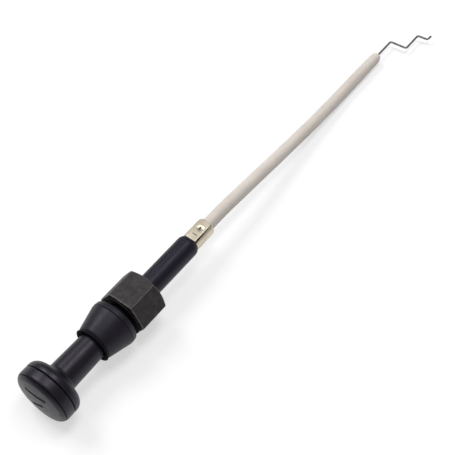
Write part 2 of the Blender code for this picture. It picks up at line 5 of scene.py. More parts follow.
import bmesh
import bpy
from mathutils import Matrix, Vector


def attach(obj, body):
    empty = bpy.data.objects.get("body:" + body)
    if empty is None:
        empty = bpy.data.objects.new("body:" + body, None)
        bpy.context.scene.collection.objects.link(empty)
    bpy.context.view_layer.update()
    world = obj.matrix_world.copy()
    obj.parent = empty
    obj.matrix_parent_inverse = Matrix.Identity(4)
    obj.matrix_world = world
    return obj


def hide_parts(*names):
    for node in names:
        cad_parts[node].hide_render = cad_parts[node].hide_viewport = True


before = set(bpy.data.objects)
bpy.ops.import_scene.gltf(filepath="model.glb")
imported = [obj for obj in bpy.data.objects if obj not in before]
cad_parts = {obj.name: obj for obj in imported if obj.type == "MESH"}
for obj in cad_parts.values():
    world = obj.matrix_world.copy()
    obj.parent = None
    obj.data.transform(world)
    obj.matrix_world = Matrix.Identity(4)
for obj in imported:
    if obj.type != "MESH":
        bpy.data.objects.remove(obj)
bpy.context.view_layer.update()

MM = 0.001

# ---- the frame's own places: the panel seat on the axis, and the axis height ----
SEAT_X = -6.15
AXIS_Z = 12.15

# ---- sizes as in the CAD; stations along the axis are counted from the panel seat, in millimetres ----
CLEAR = 0.3
HEAD_R, RIM_R = 12.15, 2.9
CAP_FRONT, CAP_RIM, CAP_REAR = -43.4, -42.5, -36.9
CAP_WALL, SPIGOT_R, SPIGOT_WALL, SPIGOT_END = 1.8, 11.05, 1.2, -35.3
STEM_RIM, SHOULDER, SHOULDER_R, FILLET_R = -36.5, -35.5, 3.3, 2.6
SHANK_START, SHANK_END, SHANK_R, SHANK_END_R = -29.6, -3.8, 6.1, 5.6
POCKET_FLOOR, WEB_END, SOCKET_FLOOR = -31.1, -28.1, -10.8
POCKET_R, SOCKET_R, ROD_BORE_R, ROD_THREAD_R = 4.3, 4.8, 2.3, 1.65
BOOT_FRONT, BOOT_MOUTH_R, BOOT_ROLL = -14.0, 6.6, 0.625
BOOT_CONE_R, BOOT_MAX_R, BOOT_RIM_R, BOOT_BAND_L, BOOT_WALL = 7.75, 10.2, 9.95, 2.4, 0.9
HUB_FRONT, HUB_R, BEAD_R, BEAD_FRONT, BEAD_END = -3.5, 8.3, 7.5, -2.15, -1.35
NUT_FRONT, NUT_REAR, NUT_AF, NUT_BORE_R = 2.9, 17.2, 19.0, 6.15
SPIGOT_FRONT, SLEEVE_FRONT, SLEEVE_END = 14.2, 17.8, 44.4
SLEEVE_R, SLEEVE_SPIGOT_R, SLEEVE_BORE_R = 4.825, 4.35, 3.7
FERRULE_FRONT, FERRULE_NECK, FERRULE_L = 39.1, 44.7, 11.0
FERRULE_R, FERRULE_TOP, FERRULE_TAB, SHEET = 4.1, 3.55, 2.6, 0.5
FERRULE_END = FERRULE_NECK + FERRULE_L
STAKE_X, CREASE_X, FLAT_MIDDLE_Y = 6.4, 2.6, -0.35  # on the flat: along x from the neck, and in y
CONDUIT_R, CONDUIT_BORE_R, WIRE_R = 2.75, 0.9, 0.5
CONDUIT_TAPER_L, CONDUIT_TAPER, CONDUIT_NOSE_L, CONDUIT_NOSE_ROUND = 15.0, 0.25, 3.0, 0.95

# The conduit's route, as in the CAD: x from the ferrule's end, y, and z above the table.
ROUTE = [
    (22.4, -0.15, 11.30),
    (34.4, -0.10, 10.10),
    (46.4, 0.05, 8.55),
    (59.4, 0.25, 6.95),
    (72.4, 0.45, 5.45),
    (85.4, 0.70, 4.25),
    (97.4, 0.95, 3.35),
    (107.4, 1.15, 2.95),
    (120.4, 1.20, 2.95),
    (133.4, 1.20, 2.95),
]
CONDUIT_STRAIGHT = 9.4  # straight as far as this
# The wire's bends past the conduit's end: along x, and to the side.
ZIGZAG = [(12.2, 0.0), (12.9, -8.3), (23.7, -8.3), (24.3, -13.4), (27.2, -13.6)]
WIRE_BEND_R = 1.2

FINE = 128  # segments round a turned piece
WELD = 1e-7  # vertices closer than this, in metres, become one


# ---- camera ----
def make_camera():
    """The photograph's view: steep, from the knob's side, with the cable running to the upper right."""
    elevation = math.radians(53.9)
    heading = math.radians(37.2)
    distance = 407.0 * MM
    aim = Vector((55.45, -6.04, 9.50)) * MM
    level = math.cos(elevation)
    forward = Vector((level * math.cos(heading), level * math.sin(heading), -math.sin(elevation)))
    data = bpy.data.cameras.new("camera")
    data.lens = 78.8
    data.sensor_width = 36.0
    data.clip_start = 0.01
    camera = bpy.data.objects.new("camera", data)
    bpy.context.scene.collection.objects.link(camera)
    camera.location = aim - forward * distance
    camera.rotation_euler = forward.to_track_quat("-Z", "Y").to_euler()
    bpy.context.scene.camera = camera


# ---- mesh helpers; outlines are (x from the seat, radius) in millimetres ----
def finish_mesh(name, bm, mat, body, node=None, smooth_angle=35.0):
    """Makes the piece, shades it, says which body it rides on, and hides the node it stands in for."""
    bmesh.ops.remove_doubles(bm, verts=bm.verts, dist=WELD)
    bmesh.ops.recalc_face_normals(bm, faces=bm.faces)
    mesh = bpy.data.meshes.new(name)
    bm.to_mesh(mesh)
    bm.free()
    mesh.shade_smooth()
    mesh.set_sharp_from_angle(angle=math.radians(smooth_angle))
    obj = bpy.data.objects.new(name, mesh)
    bpy.context.scene.collection.objects.link(obj)
    mesh.materials.append(mat)
    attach(obj, body)
    if node:
        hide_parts(node)
    return obj


def arc(x, r, radius, start, end, steps):
    """Points of a circular arc in the (x, radius) plane; angles in degrees from +x towards +radius."""
    angles = [math.radians(start + (end - start) * i / steps) for i in range(steps + 1)]
    return [(x + radius * math.cos(a), r + radius * math.sin(a)) for a in angles]


def rounded_corner(before, here, after, fillet, steps):
    """Points of a smooth curve that cuts the corner at here, by a fillet of about the given radius."""
    into = (here - before).normalized()
    away = (after - here).normalized()
    setback = fillet * math.tan(into.angle(away) / 2)
    first = here - into * setback
    last = here + away * setback
    points = []
    for i in range(steps + 1):
        t = i / steps
        points.append(first * (1 - t) ** 2 + here * 2 * t * (1 - t) + last * t**2)
    return points


def filleted(corners):
    """Open polyline through (a, b, fillet) corners; its two ends have no fillet."""
    points = []
    for i, (a, b, fillet) in enumerate(corners):
        if fillet <= 0:
            points.append((a, b))
            continue
        before, after = Vector(corners[i - 1][:2]), Vector(corners[i + 1][:2])
        points += [(p.x, p.y) for p in rounded_corner(before, Vector((a, b)), after, fillet, steps=5)]
    return points


def lathe(name, outline, mat, body, node=None, segments=FINE):
    """Closed outline turned about the cable's axis."""
    bm = bmesh.new()
    verts = [bm.verts.new(((SEAT_X + x) * MM, 0.0, (AXIS_Z + r) * MM)) for x, r in outline]
    edges = []
    for i, vert in enumerate(verts):
        j = (i + 1) % len(verts)
        if outline[i][1] > 0 or outline[j][1] > 0:
            edges.append(bm.edges.new((vert, verts[j])))
    bmesh.ops.spin(bm, geom=verts + edges, cent=(0, 0, AXIS_Z * MM), axis=(1, 0, 0), angle=2 * math.pi,
                   steps=segments, use_merge=True)
    return finish_mesh(name, bm, mat, body, node)


def loft(bm, loops, cap=True):
    """Joins closed loops of the same count with quads, and caps the ends."""
    made = [[bm.verts.new(Vector(p) * MM) for p in loop] for loop in loops]
    for a, b in zip(made, made[1:]):
        for i in range(len(a)):
            j = (i + 1) % len(a)
            bm.faces.new((a[i], a[j], b[j], b[i]))
    if cap:
        bm.faces.new(made[0])
        bm.faces.new(made[-1])
    return made


def smooth_route(points, spacing):
    """Points every spacing or so along a Catmull-Rom curve through the route's own points."""
    ends = [points[0] + (points[0] - points[1]), *points, points[-1] + (points[-1] - points[-2])]
    out = []
    for p0, p1, p2, p3 in zip(ends, ends[1:], ends[2:], ends[3:]):
        steps = max(1, round((p2 - p1).length / spacing))
        for i in range(steps):
            t = i / steps
            out.append(0.5 * (2 * p1 + (p2 - p0) * t + (2 * p0 - 5 * p1 + 4 * p2 - p3) * t * t
                              + (3 * p1 - p0 - 3 * p2 + p3) * t**3))
    out.append(points[-1])
    return out


def directions(points):
    """Unit direction of a polyline at each of its points."""
    last = len(points) - 1
    return [(points[min(i + 1, last)] - points[max(i - 1, 0)]).normalized() for i in range(last + 1)]


def sweep(name, rings, mat, body, node, reference, segments, smooth_angle):
    """Closed tube through (centre, direction, radius) rings; reference sets how its sections turn."""
    bm = bmesh.new()
    loops = []
    for centre, direction, radius in rings:
        up = direction.cross(reference).normalized()
        side = up.cross(direction).normalized()
        angles = [2 * math.pi * k / segments for k in range(segments)]
        loops.append([centre + (side * math.cos(a) + up * math.sin(a)) * radius for a in angles])
    loft(bm, loops)
    return finish_mesh(name, bm, mat, body, node, smooth_angle)


# ---- materials ----
VIOLET = (0.88, 0.82, 1.0)  # the cool sheen of the black mouldings


class Surface:
    """Principled material and the few nodes that give it grain, mottling and wear."""

    def __init__(self, name, colour, roughness, metallic=0.0, specular=0.5, tint=(1, 1, 1)):
        self.mat = bpy.data.materials.new(name)
        self.mat.use_nodes = True
        self.nodes = self.mat.node_tree.nodes
        self.links = self.mat.node_tree.links
        self.shader = self.nodes["Principled BSDF"]
        self.shader.inputs["Base Color"].default_value = (*colour, 1)
        self.shader.inputs["Roughness"].default_value = roughness
        self.shader.inputs["Metallic"].default_value = metallic
        self.shader.inputs["Specular IOR Level"].default_value = specular
        self.shader.inputs["Specular Tint"].default_value = (*tint, 1)
        self.place = self.nodes.new("ShaderNodeTexCoord").outputs["Object"]
        self.normal = None

    def noise(self, scale, detail=4.0, stretch=(1, 1, 1)):
        """Noise in the object's own metres; scale is per metre."""
        mapping = self.nodes.new("ShaderNodeMapping")
        mapping.inputs["Scale"].default_value = stretch
        self.links.new(self.place, mapping.inputs["Vector"])
        noise = self.nodes.new("ShaderNodeTexNoise")
        noise.inputs["Scale"].default_value = scale
        noise.inputs["Detail"].default_value = detail
        noise.inputs["Roughness"].default_value = 0.6
        self.links.new(mapping.outputs["Vector"], noise.inputs["Vector"])
        return noise.outputs["Fac"]

    def colour(self, value, stops):
        """Base colour from a ramp over value."""
        ramp = self.nodes.new("ShaderNodeValToRGB")
        elements = ramp.color_ramp.elements
        while len(elements) < len(stops):
            elements.new(0.5)
        for element, (place, colour) in zip(elements, stops):
            element.position = place
            element.color = (*colour, 1)
        self.links.new(value, ramp.inputs["Fac"])
        self.links.new(ramp.outputs["Color"], self.shader.inputs["Base Color"])

    def roughness(self, value, low, high):
        """Roughness from low to high over the middle of value."""
        span = self.nodes.new("ShaderNodeMapRange")
        span.inputs["From Min"].default_value = 0.3
        span.inputs["From Max"].default_value = 0.7
        span.inputs["To Min"].default_value = low
        span.inputs["To Max"].default_value = high
        self.links.new(value, span.inputs["Value"])
        self.links.new(span.outputs["Result"], self.shader.inputs["Roughness"])

    def bump(self, value, strength, distance):
        """Bump from value, on top of any bump before it; distance is in metres."""
        bump = self.nodes.new("ShaderNodeBump")
        bump.inputs["Strength"].default_value = strength
        bump.inputs["Distance"].default_value = distance
        self.links.new(value, bump.inputs["Height"])
        if self.normal:
            self.links.new(self.normal, bump.inputs["Normal"])
        self.normal = bump.outputs["Normal"]
        self.links.new(self.normal, self.shader.inputs["Normal"])


def knob_plastic():
    s = Surface("knob_plastic", (0.006, 0.0052, 0.008), 0.4, specular=0.38, tint=VIOLET)
    s.colour(s.noise(260), [(0.3, (0.0035, 0.003, 0.0048)), (0.7, (0.0075, 0.0065, 0.0098))])
    s.roughness(s.noise(500, 6), 0.34, 0.44)
    s.bump(s.noise(2600, 3), 0.10, 0.00008)
    return s.mat


def sign_groove_shade():
    # near-black matte for the sign's strokes: painted shade of engraved grooves
    s = Surface("sign_groove_shade", (0.003, 0.003, 0.003), 0.7, specular=0.1)
    s.bump(s.noise(2600, 3), 0.10, 0.00005)
    return s.mat


def boot_rubber():
    s = Surface("boot_rubber", (0.008, 0.007, 0.011), 0.45, specular=0.34, tint=VIOLET)
    s.colour(s.noise(220, 5), [(0.3, (0.005, 0.0044, 0.0072)), (0.7, (0.010, 0.0088, 0.0138))])
    s.roughness(s.noise(420, 6), 0.40, 0.52)
    s.bump(s.noise(1900, 4), 0.16, 0.00008)
    return s.mat


def lip_shade_rubber():
    """The boot's lip in duller, darker rubber: painted shade, for the shadow that lies on the rolled lip.
    """
    s = Surface("boot_lip_painted_shade", (0.0045, 0.004, 0.0055), 0.62, specular=0.12, tint=VIOLET)
    s.bump(s.noise(1900, 4), 0.16, 0.00008)
    return s.mat


def sleeve_plastic():
    s = Surface("sleeve_plastic", (0.007, 0.0062, 0.0125), 0.4, specular=0.3, tint=VIOLET)
    s.colour(s.noise(180, 4, (0.4, 1, 1)),
             [(0.3, (0.005, 0.0045, 0.0095)), (0.7, (0.009, 0.008, 0.0155))])
    s.roughness(s.noise(600, 5, (0.3, 1, 1)), 0.36, 0.48)
    s.bump(s.noise(2400, 3), 0.10, 0.00006)
    return s.mat


def phosphated_steel():
    s = Surface("phosphated_steel", (0.034, 0.031, 0.033), 0.5, metallic=0.2, specular=0.3)
    s.colour(s.noise(420, 8), [(0.35, (0.020, 0.017, 0.019)), (0.5, (0.031, 0.027, 0.029)),
                               (0.66, (0.050, 0.044, 0.045))])
    s.roughness(s.noise(700, 6), 0.46, 0.6)
    s.bump(s.noise(900, 8), 0.18, 0.0001)
    return s.mat


def edge_highlight_steel():
    # lighter steel for the nut's edges: a painted highlight
    s = Surface("steel_edge_painted_highlight", (0.09, 0.086, 0.082), 0.48, metallic=0.3)
    s.colour(s.noise(900, 6), [(0.35, (0.055, 0.051, 0.05)), (0.65, (0.13, 0.125, 0.118))])
    s.bump(s.noise(900, 8), 0.2, 0.0001)
    return s.mat


def blackened_metal():
    # near black: the parts' blackened finish, and painted shade of the narrow gap between boot and nut
    s = Surface("blackened_metal", (0.004, 0.004, 0.004), 0.7, specular=0.15)
    s.colour(s.noise(500, 6), [(0.3, (0.003, 0.003, 0.003)), (0.7, (0.006, 0.006, 0.006))])
    s.bump(s.noise(1500, 4), 0.15, 0.00008)
    return s.mat


def nickel_sheet(name, share):
    """Warm nickel; share darkens it into painted shade, for the inner layer which hardly any light reaches
    and for the crease.
    """
    nickel, low, high = [tuple(c * share for c in colour) for colour in
                         ((0.63, 0.57, 0.455), (0.55, 0.49, 0.385), (0.71, 0.645, 0.525))]
    s = Surface(name, nickel, 0.3, metallic=1.0)
    s.colour(s.noise(300, 4, (0.5, 1, 1)), [(0.35, low), (0.65, high)])
    s.roughness(s.noise(700, 3, (0.2, 1, 1)), 0.36, 0.44)
    s.bump(s.noise(600, 2, (0.15, 1, 1)), 0.04, 0.00003)
    return s.mat


def natural_nylon():
    s = Surface("natural_nylon", (0.74, 0.69, 0.64), 0.42, specular=0.3)
    s.colour(s.noise(90, 4, (0.5, 1, 1)), [(0.3, (0.67, 0.615, 0.56)), (0.7, (0.76, 0.71, 0.66))])
    s.roughness(s.noise(500, 4, (0.3, 1, 1)), 0.38, 0.5)
    s.bump(s.noise(500, 4, (0.08, 1, 1)), 0.05, 0.00008)
    s.shader.inputs["Subsurface Weight"].default_value = 0.8
    s.shader.inputs["Subsurface Radius"].default_value = (1.0, 0.9, 0.8)
    s.shader.inputs["Subsurface Scale"].default_value = 0.0022
    return s.mat


def drawn_steel():
    s = Surface("drawn_steel", (0.24, 0.23, 0.22), 0.36, metallic=1.0)
    s.colour(s.noise(700, 5, (0.2, 1, 1)), [(0.3, (0.16, 0.152, 0.145)), (0.7, (0.32, 0.305, 0.29))])
    s.bump(s.noise(2500, 3, (0.1, 1, 1)), 0.15, 0.00004)
    return s.mat


def plain_metal(name, colour):
    s = Surface(name, colour, 0.32, metallic=1.0)
    s.roughness(s.noise(900, 4), 0.26, 0.4)
    s.bump(s.noise(1800, 3), 0.12, 0.00005)
    return s.mat


# ---- knob ----
def dome_x(r):
    """Station of the cap's domed face at radius r."""
    face_r = HEAD_R - RIM_R
    rise = CAP_RIM - CAP_FRONT
    radius = (face_r**2 + rise**2) / (2 * rise)
    return CAP_FRONT + radius - math.sqrt(radius**2 - r**2)


def make_knob(plastic, sign):
    """Cap and stem, parted by the ring groove, and the sign on the face."""
    face_r = HEAD_R - RIM_R
    rim_x = CAP_RIM + RIM_R
    face_angle = 162.0  # where the dome has run into the rounded rim
    groove_angle, groove_half, groove_depth = 117.0, 3.5, 0.35  # fine groove between face and side
    ring_edge = 0.3  # fillet of the two edges at the ring groove between cap and stem
    side_start, side_end = rim_x + 1.0, SHOULDER - 0.2  # the head's straight side, between its two arcs
    dome_steps = 20
    cap = [(dome_x(face_r * i / dome_steps), face_r * i / dome_steps) for i in range(dome_steps + 1)]
    cap += arc(rim_x, face_r, RIM_R, face_angle, groove_angle + groove_half, 14)
    cap += arc(rim_x, face_r, RIM_R - groove_depth, groove_angle, groove_angle, 1)[:1]
    cap += arc(rim_x, face_r, RIM_R, groove_angle - groove_half, 90, 8)
    cap += filleted([
        (side_start, HEAD_R, 0),
        (CAP_REAR, HEAD_R, ring_edge),
        (CAP_REAR, SPIGOT_R, 0),
        (SPIGOT_END, SPIGOT_R, 0),
        (SPIGOT_END, SPIGOT_R - SPIGOT_WALL, 0),
        (CAP_RIM + CAP_WALL, SPIGOT_R - SPIGOT_WALL, 0),
        (CAP_RIM + CAP_WALL, 0.0, 0),
    ])
    lathe("knob_cap_shell", cap, plastic, "knob", "knob_cap")

    recess_r = SPIGOT_R + CLEAR
    pocket_mouth = SPIGOT_END + CLEAR
    stem = filleted([(pocket_mouth, recess_r, 0), (STEM_RIM, recess_r, 0), (STEM_RIM, HEAD_R, ring_edge),
                     (side_end, HEAD_R, 0)])
    stem += arc(SHOULDER, HEAD_R - SHOULDER_R, SHOULDER_R, 90, 0, 14)
    stem += arc(SHANK_START, SHANK_R + FILLET_R, FILLET_R, 180, 270, 14)
    stem += [(SHANK_END, SHANK_END_R), (SHANK_END, SOCKET_R), (SOCKET_FLOOR, SOCKET_R)]
    stem += [(SOCKET_FLOOR, ROD_BORE_R), (WEB_END, ROD_BORE_R), (WEB_END, ROD_THREAD_R)]
    stem += [(POCKET_FLOOR, ROD_THREAD_R), (POCKET_FLOOR, POCKET_R), (pocket_mouth, POCKET_R)]
    lathe("knob_stem_moulding", stem, plastic, "knob", "knob_stem")

    # plain sign: a long bar, and under it a shorter one that slants up towards its end; the strokes are
    # painted black for the shade in the sign's engraved grooves
    stroke("sign_bar", (5.6, 4.0), (-4.4, 4.6), 1.7, sign)
    stroke("sign_flap", (3.2, -3.6), (-2.6, 0.2), 1.5, sign)


def stroke(name, start, end, width, mat):
    """Thin stroke on the domed face between two (y, z) points from the axis, black as painted shade of an
    engraved groove.
    """
    proud, sunk, steps = 0.03, 0.15, 12
    a, b = Vector(start), Vector(end)
    across = Vector((b.y - a.y, a.x - b.x)).normalized() * (width / 2)
    bm = bmesh.new()
    loops = []
    for i in range(steps + 1):
        centre = a.lerp(b, i / steps)
        x = SEAT_X + dome_x(centre.length)
        left, right = centre - across, centre + across
        loops.append([(x + depth, p.x, AXIS_Z + p.y) for p, depth in
                      ((left, -proud), (right, -proud), (right, sunk), (left, sunk))])
    loft(bm, loops)
    finish_mesh(name, bm, mat, "knob")


# ---- boot ----
def make_boot(rubber, lip_shade_material):
    """Conical boot from its lip to the band at its rim, with the bead that holds it on the hub."""
    lip_end = BOOT_FRONT + 2 * BOOT_ROLL
    lip_r = 0.2
    throat_l, throat_drop, funnel_l, funnel_rise = 0.9, 0.1, 0.1, 0.3  # the mouth widens to the front
    groove_l, groove_depth = 0.15, 0.25  # between the lip and the cone
    corner, corner_rise = 0.3, 0.05  # at the cone's front
    step, step_cut, cone_drop = 0.3, 0.05, 0.03  # up to the band at the boot's rim
    cone_start = lip_end + groove_l
    band = -BOOT_BAND_L
    outline = [(lip_end + throat_l, BOOT_MOUTH_R - throat_drop)]
    outline += [(lip_end - funnel_l, BOOT_MOUTH_R + funnel_rise)]
    outline += arc(BOOT_FRONT + lip_r, BOOT_MOUTH_R + 2 * BOOT_ROLL - lip_r, lip_r, 215, 20, 14)
    outline += filleted([
        (lip_end, BOOT_CONE_R - groove_depth, 0),
        (cone_start + corner, BOOT_CONE_R + corner_rise, 0.3),
        (band - step, BOOT_MAX_R - cone_drop, 0.25),
        (band, BOOT_MAX_R - step - step_cut, 0.08),
        (band + step, BOOT_MAX_R, 0.3),
        (0.0, BOOT_RIM_R, 0.45),
        (0.0, HUB_R, 0),
        (BEAD_END, HUB_R, 0),
        (BEAD_END, BEAD_R, 0),
        (BEAD_FRONT, BEAD_R, 0),
        (BEAD_FRONT, HUB_R, 0),
        (HUB_FRONT - CLEAR, HUB_R, 0),
        (cone_start + BOOT_WALL + corner, BOOT_CONE_R - BOOT_WALL, 0),
    ])
    boot = lathe("dust_boot_rubber", outline, rubber, "housing", "dust_boot")
    boot.data.materials.append(lip_shade_material)
    # the lip's faces take the darker rubber, painted shade
    for face in boot.data.polygons:
        if face.center.x < (SEAT_X + lip_end) * MM:
            face.material_index = 1


# ---- hex nut ----
def make_nut(steel, edge):
    """Hexagon with a 30 degree chamfer that cuts scallops into its flats, and rounded edges painted lighter
    as a highlight.
    """
    steps = 144
    corner_cut, face_share, front_edge, rear_edge, bore_chamfer = 0.16, 0.95, 0.3, 0.15, 0.6
    flat = NUT_AF / 2
    corner_r = flat / math.cos(math.radians(30)) - corner_cut
    face_r = face_share * flat
    slope = math.tan(math.radians(30))
    sixth = math.radians(60)
    angles = [2 * math.pi * k / steps for k in range(steps)]
    radii = []
    for a in angles:
        past_flat = (a - math.radians(90)) % sixth
        radii.append(min(flat / math.cos(min(past_flat, sixth - past_flat)), corner_r))
    outline = [
        lambda r: (NUT_FRONT, NUT_BORE_R),
        lambda r: (NUT_FRONT, r - front_edge),
        lambda r: (NUT_FRONT + front_edge, r),
        lambda r: (NUT_REAR - max(rear_edge, (r - face_r) * slope), r),
        lambda r: (NUT_REAR, face_r),
        lambda r: (NUT_REAR, NUT_BORE_R + bore_chamfer),
        lambda r: (NUT_REAR - bore_chamfer, NUT_BORE_R),
        lambda r: (NUT_FRONT, NUT_BORE_R),
    ]
    loops = []
    for place in outline:
        loop = []
        for a, r in zip(angles, radii):
            x, radius = place(r)
            loop.append((SEAT_X + x, radius * math.cos(a), AXIS_Z + radius * math.sin(a)))
        loops.append(loop)
    bm = bmesh.new()
    loft(bm, loops, cap=False)
    nut = finish_mesh("hex_nut", bm, steel, "nut", "panel_nut", smooth_angle=12.0)
    nut.data.materials.append(edge)
    # the front chamfer band takes the lighter steel, a painted highlight
    for face in nut.data.polygons:
        if face.center.x < (SEAT_X + NUT_FRONT + front_edge) * MM and abs(face.normal.x) < 0.9:
            face.material_index = 1
    # rounded edges, also in the lighter steel: a painted highlight
    bevel = nut.modifiers.new("highlight_edges", "BEVEL")
    bevel.width = 0.22 * MM
    bevel.segments = 3
    bevel.angle_limit = math.radians(25)
    bevel.material = 1


# ---- sleeve ----
def make_sleeve(plastic):
    """Sleeve behind the nut, rounded at its rear end."""
    front_edge, end_round, end_round_l, steps = 0.2, 0.85, 2.2, 12
    outline = [(SPIGOT_FRONT, SLEEVE_BORE_R), (SPIGOT_FRONT, SLEEVE_SPIGOT_R)]
    outline += [(SLEEVE_FRONT, SLEEVE_SPIGOT_R), (SLEEVE_FRONT, SLEEVE_R - front_edge)]
    outline += [(SLEEVE_FRONT + front_edge, SLEEVE_R)]
    for i in range(steps + 1):
        a = math.radians(90 * (1 - i / steps))
        x = SLEEVE_END - end_round_l * (1 - math.cos(a))
        outline.append((x, SLEEVE_R - end_round * (1 - math.sin(a))))
    outline += [(SLEEVE_END, SLEEVE_BORE_R)]
    lathe("cable_sleeve", outline, plastic, "housing", "rear_sleeve")


# ---- rolled ferrule ----
def rolled_sheet(radius, tab, seam, inset):
    """Open (y, z) path of the sheet, set in by inset: tab, pressed flat, wall round to the seam."""
    flat_steps, wall_steps = 8, 56
    least_bow = 0.1  # the flat lies at least this far below the round's top
    r = radius - inset
    top = min(FERRULE_TOP, radius - least_bow) - inset
    flat_angle = math.acos(top / r)
    flat_end = r * math.sin(flat_angle)
    path = [(-tab + (flat_end + tab) * i / flat_steps, top) for i in range(flat_steps)]
    for i in range(wall_steps + 1):
        a = flat_angle + (2 * math.pi - seam - flat_angle) * i / wall_steps
        path.append((r * math.sin(a), r * math.cos(a)))
    return path


def ferrule_stations():
    """Stations of the sheet: x from the neck, radius, tab, and the angle the wall lacks to a full turn."""
    front_x, front_end, front_drop = 0.05, 0.25, 0.15  # the front edge is drawn in a little
    wide, narrow = math.radians(51), math.radians(40.5)
    round_l, round_drop, tab_cut = 1.4, 0.55, 1.2  # so is the rounded rear end, and its tab is cut back
    straight_steps, round_steps = 7, 8
    stations = [(front_x, FERRULE_R - front_drop, FERRULE_TAB, wide)]
    stations += [(front_end, FERRULE_R, FERRULE_TAB, wide)]
    straight = FERRULE_L - round_l
    for i in range(1, straight_steps + 1):
        t = i / straight_steps
        x = front_end + (straight - front_end) * t
        stations.append((x, FERRULE_R, FERRULE_TAB, wide + (narrow - wide) * t))
    for i in range(1, round_steps + 1):
        a = math.radians(90 * i / round_steps)
        x = straight + round_l * math.sin(a)
        drop = round_drop * (1 - math.cos(a))
        stations.append((x, FERRULE_R - drop, FERRULE_TAB - tab_cut * math.sin(a), narrow))
    return stations


def make_ferrule(nickel):
    """One sheet rolled round the conduit; the free edge of its pressed top lies over the seam."""
    bm = bmesh.new()
    loops = []
    for x, r, tab, seam in ferrule_stations():
        outer = rolled_sheet(r, tab, seam, 0.0)
        inner = rolled_sheet(r, tab, seam, SHEET)
        loops.append([(SEAT_X + FERRULE_NECK + x, y, AXIS_Z + z) for y, z in outer + inner[::-1]])
    made = loft(bm, loops, cap=False)
    half = len(made[0]) // 2
    for loop in (made[0], made[-1]):
        for i in range(half - 1):
            bm.faces.new((loop[i], loop[i + 1], loop[-i - 2], loop[-i - 1]))
    fold = finish_mesh("ferrule_fold", bm, nickel, "housing", "ferrule", smooth_angle=30.0)
    bevel = fold.modifiers.new("broken_edges", "BEVEL")
    bevel.width = 0.13 * MM
    bevel.segments = 3
    bevel.angle_limit = math.radians(40)
    stamp(fold, nickel)


def make_inner_roll(shade_nickel):
    """The sheet's inner layer, seen through the seam, and its front end inside the sleeve, in nickel
    darkened as painted shade.
    """
    tube_r, bore_r, lip = SLEEVE_BORE_R - CLEAR, CONDUIT_R + CLEAR, 0.5
    wire_hole_r, layer_r = 1.1, 3.42
    layer_start, layer_end = FERRULE_NECK + 0.02, FERRULE_END - 1.2
    outline = [(FERRULE_FRONT, wire_hole_r), (FERRULE_FRONT, tube_r), (layer_start, tube_r)]
    outline += [(layer_start, layer_r), (layer_end, layer_r), (layer_end, bore_r)]
    outline += [(FERRULE_FRONT + lip, bore_r), (FERRULE_FRONT + lip, wire_hole_r)]
    lathe("ferrule_inner_roll", outline, shade_nickel, "housing", segments=64)


def make_crease(shade_nickel):
    """Short crease that the folding tool leaves across the flat, in nickel darkened as painted shade."""
    half, width, proud, sunk = 1.1, 0.32, 0.02, 0.2
    x = SEAT_X + FERRULE_NECK + CREASE_X
    top = AXIS_Z + FERRULE_TOP
    section = [(0.0, proud), (width, proud), (width, -sunk), (0.0, -sunk)]
    bm = bmesh.new()
    loft(bm, [[(x + dx, y, top + dz) for dx, dz in section]
              for y in (FLAT_MIDDLE_Y - half, FLAT_MIDDLE_Y + half)])
    finish_mesh("ferrule_crease", bm, shade_nickel, "housing")


def turned_up(centre, profile):
    """Closed mesh of a (radius, height) profile turned about the upright through centre."""
    bm = bmesh.new()
    verts = [bm.verts.new((centre + Vector((r, 0, z))) * MM) for r, z in profile]
    edges = [bm.edges.new((a, b)) for a, b in zip(verts, verts[1:])]
    bmesh.ops.spin(bm, geom=verts + edges, cent=centre * MM, axis=(0, 0, 1), angle=2 * math.pi, steps=64,
                   use_merge=True)
    bmesh.ops.remove_doubles(bm, verts=bm.verts, dist=WELD)
    bmesh.ops.recalc_face_normals(bm, faces=bm.faces)
    return bm


def stamp(fold, nickel):
    """Staking dimple pressed into the flat top: a hole in the sheet that holds a bowl with a soft lip."""
    hole_r, hole_depth, above = 1.75, 0.8, 0.3
    centre = Vector((SEAT_X + FERRULE_NECK + STAKE_X, FLAT_MIDDLE_Y, AXIS_Z + FERRULE_TOP))
    bm = turned_up(centre, [(0.0, -hole_depth), (hole_r, -hole_depth), (hole_r, above), (0.0, above)])
    mesh = bpy.data.meshes.new("stake_cutter")
    bm.to_mesh(mesh)
    bm.free()
    cutter = bpy.data.objects.new("stake_cutter", mesh)
    bpy.context.scene.collection.objects.link(cutter)
    cut = fold.modifiers.new("stake_hole", "BOOLEAN")
    cut.object = cutter
    bpy.context.view_layer.objects.active = fold
    for name in [m.name for m in fold.modifiers]:
        with bpy.context.temp_override(object=fold, active_object=fold):
            bpy.ops.object.modifier_apply(modifier=name)
    bpy.data.objects.remove(cutter)
    fold.data.set_sharp_from_angle(angle=math.radians(30))

    profile = [(0.0, -0.75), (1.71, -0.75), (1.71, -0.06)]  # underside and outer wall, inside the hole
    profile += [(1.92, 0.0), (1.9, 0.06), (1.76, 0.11), (1.6, 0.09)]  # soft lip on the sheet
    bowl_r, bowl_depth, bowl_rise, bowl_steps = 1.5, 0.22, 0.03, 8
    for i in range(bowl_steps + 1):
        t = i / bowl_steps
        z = -bowl_depth * math.sin(math.radians(90 * t)) + bowl_rise * (1 - t)
        profile.append((bowl_r * (1 - t), z))
    finish_mesh("ferrule_stake", turned_up(centre, profile), nickel, "housing",
                smooth_angle=60.0)


